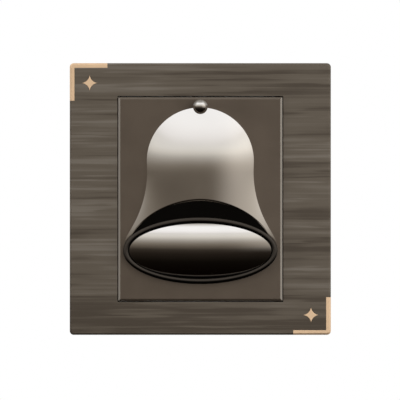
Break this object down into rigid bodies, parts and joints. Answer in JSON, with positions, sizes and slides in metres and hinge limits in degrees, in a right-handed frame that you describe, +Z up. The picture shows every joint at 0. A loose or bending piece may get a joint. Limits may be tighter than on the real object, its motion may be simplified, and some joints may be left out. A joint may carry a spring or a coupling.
{
  "type": "doorbell switch",
  "caption": "Wall doorbell push switch: square plate with gold corner trims and stars, and a hinged spring-back key that carries a bell in relief, over a wall-box mechanism.",
  "frame": {"origin": "midway between the two fixing slots, on the wall plane behind the flange", "axes": "+X to the right seen from the front, +Y into the wall, +Z up; the front faces -Y"},
  "size_m": [0.086, 0.0426, 0.0896],
  "materials": {
    "plate_face": "brown-grey with fine horizontal brushed streaks",
    "gold_trim": "satin gold",
    "key_satin": "plain brown-grey satin",
    "bell_plated": "satin nickel plating",
    "bell_polished": "bright nickel plating",
    "bezel_black": "black",
    "base_plastic": "moulded, fine spark texture",
    "plunger_plastic": "moulded",
    "spring_steel": "zinc plated",
    "contact_brass": "plain",
    "contact_silver": "silver alloy"
  },
  "bodies": {
    "base": {"front_plate": "plate_face", "corner_trim_upper_left": "gold_trim", "corner_trim_lower_right": "gold_trim", "star_inlay_upper_left": "gold_trim", "star_inlay_lower_right": "gold_trim", "base_housing": "base_plastic", "mechanism_cover": "base_plastic", "fixed_contact_left": "contact_brass", "fixed_contact_right": "contact_brass", "fixed_contact_tips": "contact_silver", "terminal_post_left": "contact_brass", "terminal_post_right": "contact_brass", "terminal_screws": "spring_steel"},
    "key": {"button_key": "key_satin", "bell_body": "bell_plated", "bell_finial": "bell_polished", "mouth_bezel": "bezel_black", "mouth_disc": "bell_polished"},
    "plunger": {"plunger": "plunger_plastic", "contact_bridge": "contact_brass", "moving_contact_tips": "contact_silver", "contact_spring": "spring_steel", "return_spring": "spring_steel"}
  },
  "joints": [
    {"name": "key_press", "type": "hinge", "parent": "base", "child": "key", "pos_m": [0, -0.0055, 0.029], "axis": [1, 0, 0], "range_deg": [0, 2.5], "stiffness_Nm_per_rad": 0.5, "springref_deg": -5.73},
    {"name": "plunger_slide", "type": "slide", "parent": "base", "child": "plunger", "axis": [0, 1, 0], "range_m": [0, 0.00165], "deforming": ["return_spring"]}
  ],
  "couplings": [
    {"joint": "plunger_slide", "follows": "key_press", "m_per_rad": 0.037}
  ]
}
